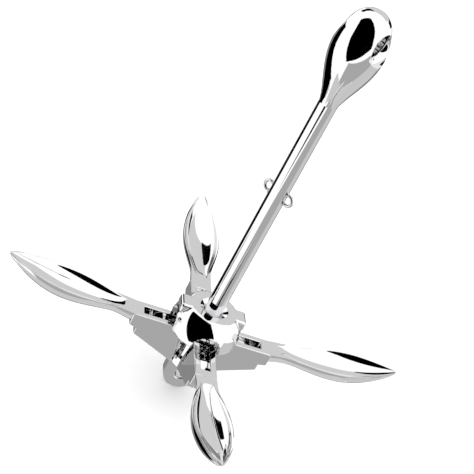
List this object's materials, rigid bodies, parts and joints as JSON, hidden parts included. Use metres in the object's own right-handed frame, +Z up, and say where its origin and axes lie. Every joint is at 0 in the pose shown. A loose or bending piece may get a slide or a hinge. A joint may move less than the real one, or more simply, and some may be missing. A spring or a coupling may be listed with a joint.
{
  "type": "folding grapnel anchor",
  "caption": "Folding stainless grapnel anchor: round shank with an egg-shaped rope eye, hinged spoon flukes, a sliding ball-shaped locking collar and a trip-line eye.",
  "frame": {"origin": "on the shank axis at the lowest point, which is the bottom of the trip-line eye", "axes": "+Z up the shank toward the rope eye, +X along the right fluke when open, +Y along the back fluke"},
  "size_m": [0.36, 0.36, 0.396],
  "materials": {
    "polished_stainless": "mirror-polished 316 stainless steel",
    "pin_stainless": "ground 316 stainless steel"
  },
  "bodies": {
    "shank": {"shank_bar": "polished_stainless", "head_eye": "polished_stainless", "crown_hub": "polished_stainless", "trip_eye": "polished_stainless", "keeper_loop_right": "pin_stainless", "keeper_loop_left": "pin_stainless"},
    "collar": {"locking_collar": "polished_stainless"},
    "right_fluke": {"fluke_right": "polished_stainless", "hinge_pin_right": "pin_stainless"},
    "back_fluke": {"fluke_back": "polished_stainless", "hinge_pin_back": "pin_stainless"},
    "left_fluke": {"fluke_left": "polished_stainless", "hinge_pin_left": "pin_stainless"},
    "front_fluke": {"fluke_front": "polished_stainless", "hinge_pin_front": "pin_stainless"}
  },
  "joints": [
    {"name": "collar_slide", "type": "slide", "parent": "shank", "child": "collar", "axis": [0, 0, 1], "range_m": [0, 0.12]},
    {"name": "right_fluke_fold", "type": "hinge", "parent": "shank", "child": "right_fluke", "pos_m": [0.036, 0, 0.047], "axis": [0, -1, 0], "range_deg": [0, 78]},
    {"name": "back_fluke_fold", "type": "hinge", "parent": "shank", "child": "back_fluke", "pos_m": [0, 0.036, 0.047], "axis": [1, 0, 0], "range_deg": [0, 78]},
    {"name": "left_fluke_fold", "type": "hinge", "parent": "shank", "child": "left_fluke", "pos_m": [-0.036, 0, 0.047], "axis": [0, 1, 0], "range_deg": [0, 78]},
    {"name": "front_fluke_fold", "type": "hinge", "parent": "shank", "child": "front_fluke", "pos_m": [0, -0.036, 0.047], "axis": [-1, 0, 0], "range_deg": [0, 78]}
  ],
  "couplings": [
    {"joint": "right_fluke_fold", "follows": "collar_slide", "rad_per_m": 11.344},
    {"joint": "back_fluke_fold", "follows": "collar_slide", "rad_per_m": 11.344},
    {"joint": "left_fluke_fold", "follows": "collar_slide", "rad_per_m": 11.344},
    {"joint": "front_fluke_fold", "follows": "collar_slide", "rad_per_m": 11.344}
  ]
}
